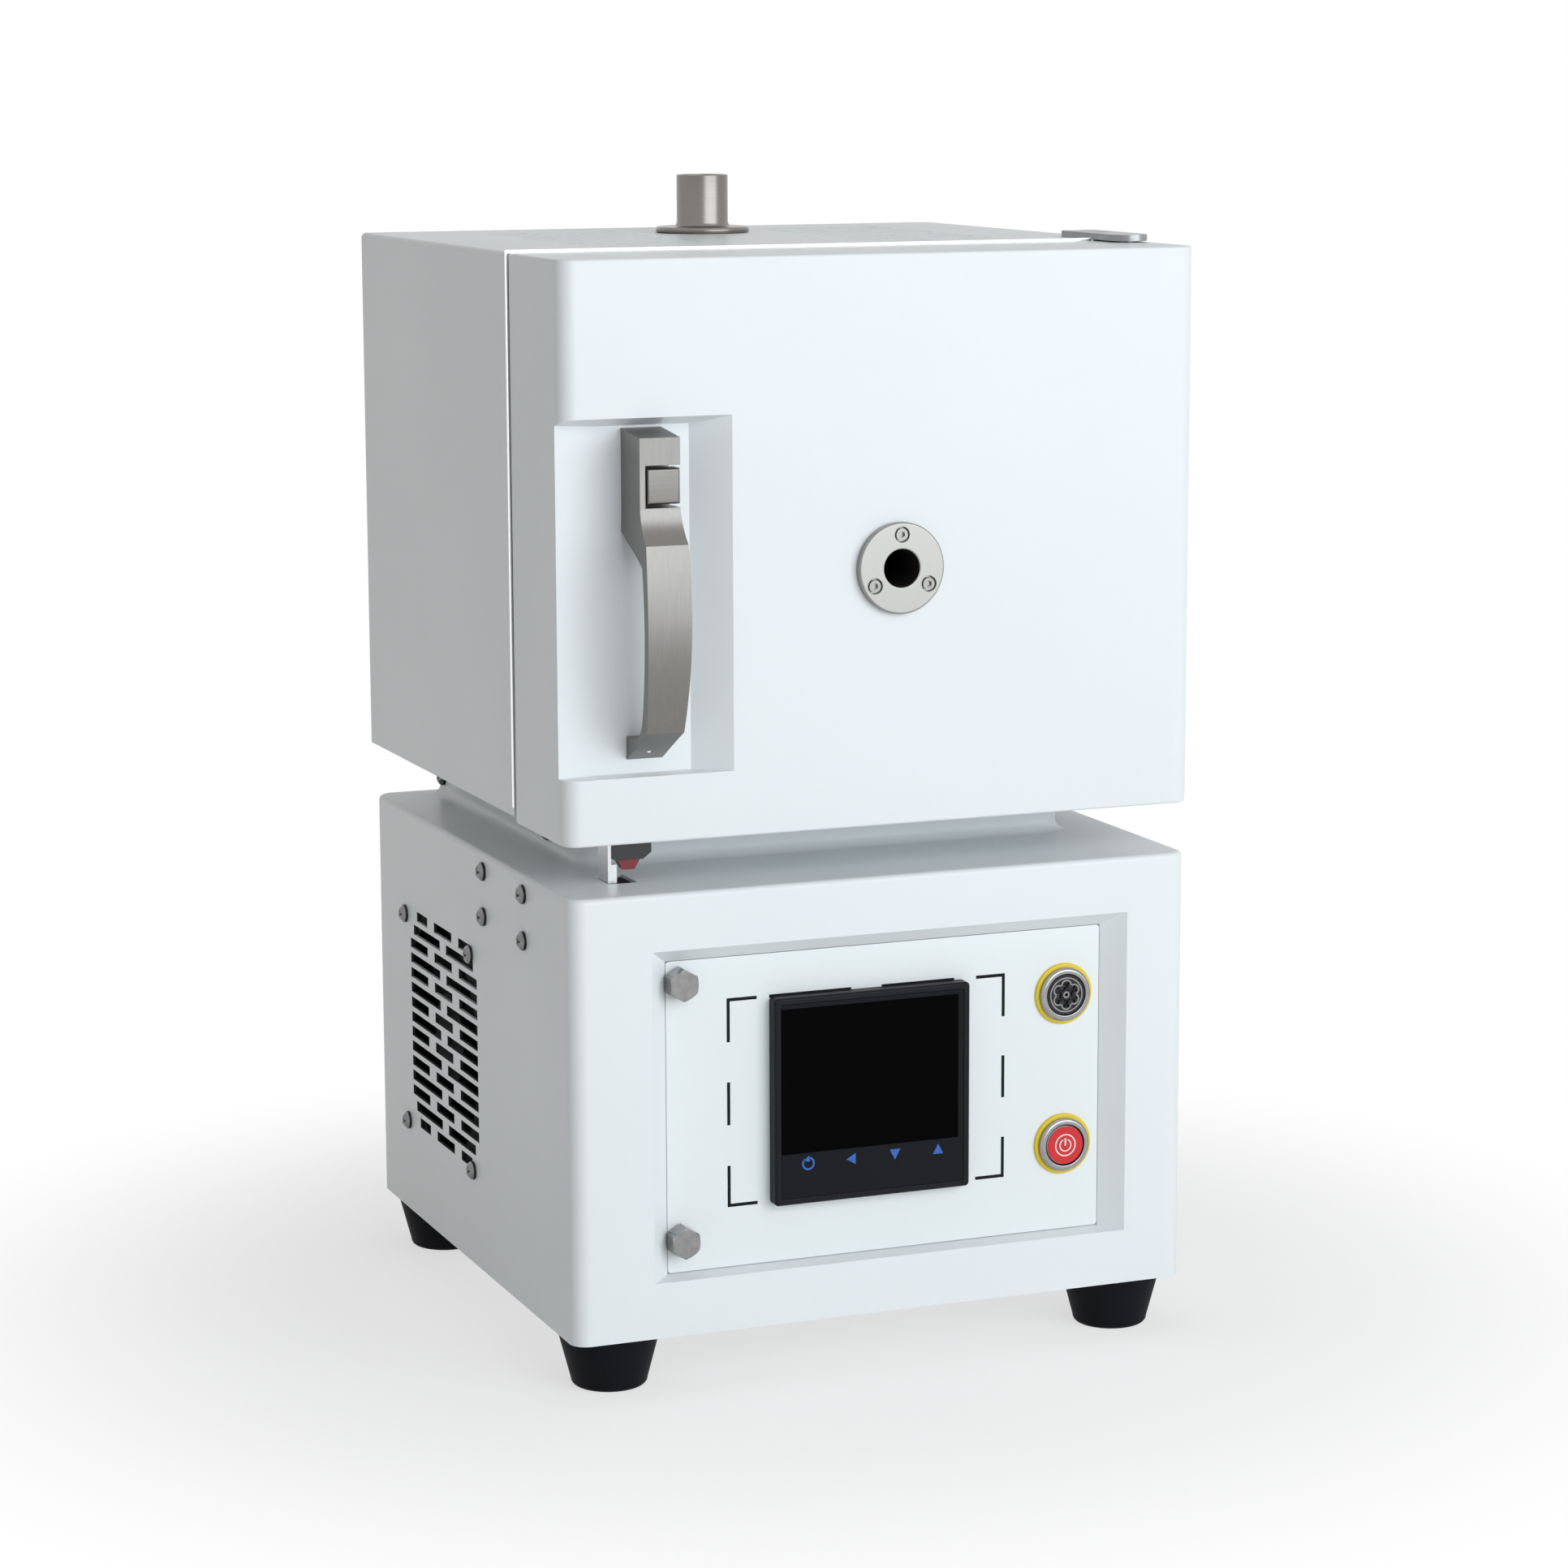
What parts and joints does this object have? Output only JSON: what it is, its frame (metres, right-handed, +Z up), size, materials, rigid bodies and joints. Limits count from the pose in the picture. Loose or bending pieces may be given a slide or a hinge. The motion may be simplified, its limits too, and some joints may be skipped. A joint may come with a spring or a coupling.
{
  "type": "muffle furnace",
  "caption": "Bench-top muffle furnace: a heated chamber behind a side-hung door with a latching handle, on a control base with a display, push buttons, side vents and rubber feet.",
  "frame": {"origin": "on the floor, in the middle of the whole furnace's bounding box", "axes": "+Z up, -Y out of the door's front, +X to the right seen from the front"},
  "size_m": [0.3088, 0.3264, 0.536],
  "materials": {
    "white_coat": "satin powder coat",
    "zinc_steel": "zinc plated",
    "stainless": "satin",
    "handle_metal": "satin nickel, cast",
    "chrome": "polished",
    "aluminium": "extruded",
    "black_plastic": "moulded",
    "dark_window": "glossy",
    "yellow_plastic": "moulded",
    "cream_plastic": "moulded",
    "red_plastic": "moulded",
    "grey_plastic": "moulded",
    "rubber": "matte",
    "fibre": "vacuum-formed ceramic fibre, stands in as fabric",
    "ceramic": "fired ceramic, stands in as plastic",
    "element": "oxidised resistance alloy",
    "seal": "woven glass-fibre rope"
  },
  "bodies": {
    "housing": {"base_shell": "white_coat", "base_bottom_plate": "zinc_steel", "base_back_panel": "white_coat", "control_panel": "white_coat", "panel_bolts": "zinc_steel", "controller_case": "black_plastic", "controller_window": "dark_window", "button_bezels": "chrome", "button_collars": "yellow_plastic", "alarm_buzzer": "black_plastic", "side_screws": "zinc_steel", "fan_frame": "black_plastic", "solid_state_relay": "cream_plastic", "relay_heat_sink": "aluminium", "terminal_block": "grey_plastic", "power_inlet": "black_plastic", "foot_front_left": "rubber", "foot_front_right": "rubber", "foot_rear_left": "rubber", "foot_rear_right": "rubber", "foot_screws": "zinc_steel", "switch_bracket": "zinc_steel", "interlock_switch": "black_plastic", "cabinet_shell": "white_coat", "cabinet_floor": "zinc_steel", "cabinet_back_cover": "white_coat", "front_frame": "white_coat", "inner_case": "stainless", "insulation_left": "fibre", "insulation_right": "fibre", "insulation_top": "fibre", "insulation_bottom": "fibre", "insulation_back": "fibre", "heater_left": "element", "heater_right": "element", "hearth_plate": "ceramic", "thermocouple": "stainless", "exhaust_stub": "stainless", "flue_tube": "ceramic", "hinge_top": "zinc_steel", "hinge_bottom": "zinc_steel", "rear_screws": "zinc_steel", "strike_plate": "zinc_steel"},
    "door": {"door_skin": "white_coat", "door_back_plate": "stainless", "door_insulation": "fibre", "door_plug": "fibre", "door_seal": "seal", "hinge_blocks": "zinc_steel", "peephole_flange": "stainless", "peephole_tube": "ceramic", "peephole_screws": "stainless", "handle": "handle_metal", "handle_screws": "zinc_steel", "latch_case": "zinc_steel"},
    "thumb_button": {"thumb_button": "handle_metal"},
    "latch_tongue": {"latch_tongue": "zinc_steel"},
    "power_button": {"power_button": "chrome"},
    "fan_rotor": {"fan_rotor": "grey_plastic"},
    "switch_plunger": {"switch_plunger": "red_plastic"}
  },
  "joints": [
    {"name": "door_hinge", "type": "hinge", "parent": "housing", "child": "door", "pos_m": [0.1435, -0.08775, 0.38], "axis": [0, 0, 1], "range_deg": [0, 120]},
    {"name": "thumb_press", "type": "slide", "parent": "door", "child": "thumb_button", "axis": [0, 1, 0], "range_m": [0, 0.004], "stiffness_N_per_m": 300},
    {"name": "latch_slide", "type": "slide", "parent": "door", "child": "latch_tongue", "axis": [1, 0, 0], "range_m": [0, 0.004]},
    {"name": "power_press", "type": "slide", "parent": "housing", "child": "power_button", "axis": [0, 1, 0], "range_m": [0, 0.0025], "stiffness_N_per_m": 300},
    {"name": "fan_spin", "type": "hinge", "parent": "housing", "child": "fan_rotor", "pos_m": [-0.13, 0.05725, 0.1242], "axis": [1, 0, 0], "continuous": true},
    {"name": "switch_press", "type": "slide", "parent": "housing", "child": "switch_plunger", "axis": [0, 0, 1], "range_m": [0, 0.0012]}
  ],
  "couplings": [
    {"joint": "latch_slide", "follows": "thumb_press", "ratio": 1},
    {"joint": "switch_press", "follows": "door_hinge", "m_per_rad": 0.0005725}
  ]
}
